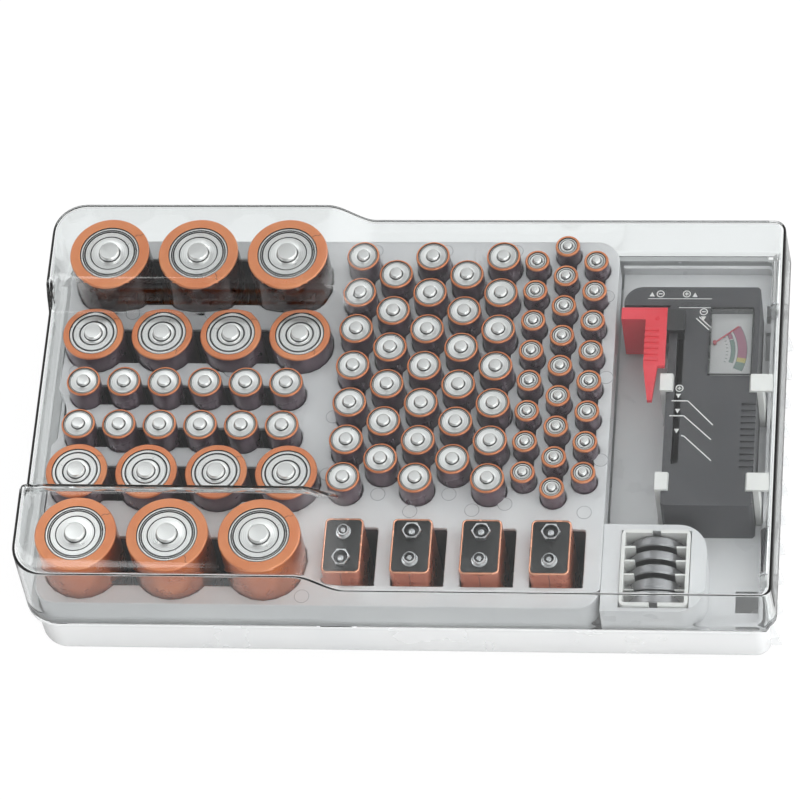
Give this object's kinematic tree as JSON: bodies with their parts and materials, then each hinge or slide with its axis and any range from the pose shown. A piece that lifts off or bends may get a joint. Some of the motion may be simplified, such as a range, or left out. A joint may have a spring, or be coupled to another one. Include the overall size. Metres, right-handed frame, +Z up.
{
  "type": "battery storage case",
  "caption": "Clear hinged-lid battery case with a scalloped deck full of cells, a coin cell holder and a clip-in tester",
  "frame": {"origin": "centre of the footprint, on the table", "axes": "+X toward the hinge end, +Y toward the rear, +Z up"},
  "size_m": [0.3132, 0.1826, 0.0665],
  "materials": {
    "clear_plastic": "clear, polished",
    "deck_plastic": "fine satin moulding",
    "white_plastic": "satin moulding",
    "dark_plastic": "fine texture",
    "red_plastic": "smooth",
    "black_plastic": "smooth",
    "cell_jacket": "printed film",
    "copper_foil": "metallic film",
    "copper_wire": "enamelled wire",
    "nickel": "plated",
    "steel": "bright drawn",
    "board": "laminate",
    "dial_card": "printed card",
    "red_paint": "painted"
  },
  "bodies": {
    "root": {"base_tray": "clear_plastic", "hinge_pins": "steel", "cell_deck": "deck_plastic", "tester_tray": "deck_plastic", "tester_clips": "white_plastic", "coin_holder": "white_plastic", "coin_cells": "nickel", "d_cells": "cell_jacket", "c_cells": "cell_jacket", "aa_cells": "cell_jacket", "aaa_cells": "cell_jacket", "nine_volt_cans": "copper_foil", "nine_volt_caps": "black_plastic", "nine_volt_snaps": "nickel", "tester_case": "dark_plastic", "tester_cover": "dark_plastic", "tester_screws": "steel", "snap_contacts": "nickel", "load_board": "board", "meter_window": "clear_plastic", "meter_dial": "dial_card", "meter_yoke": "steel", "lobe_contact": "nickel"},
    "lid": {"lid": "clear_plastic"},
    "slider": {"slider_arm": "red_plastic", "slider_shoe": "dark_plastic", "slider_contact": "nickel"},
    "needle": {"meter_needle": "red_paint", "meter_coil": "copper_wire"}
  },
  "joints": [
    {"name": "lid_hinge", "type": "hinge", "parent": "root", "child": "lid", "pos_m": [0.1519, 0, 0.028], "axis": [0, 1, 0], "range_deg": [0, 95]},
    {"name": "slider", "type": "slide", "parent": "root", "child": "slider", "axis": [0, -1, 0], "range_m": [0, 0.062]},
    {"name": "meter_needle", "type": "hinge", "parent": "root", "child": "needle", "pos_m": [0.1264, 0.0359, 0.0417], "axis": [0, 0, 1], "range_deg": [-80, 5], "stiffness_Nm_per_rad": 0.00001}
  ]
}
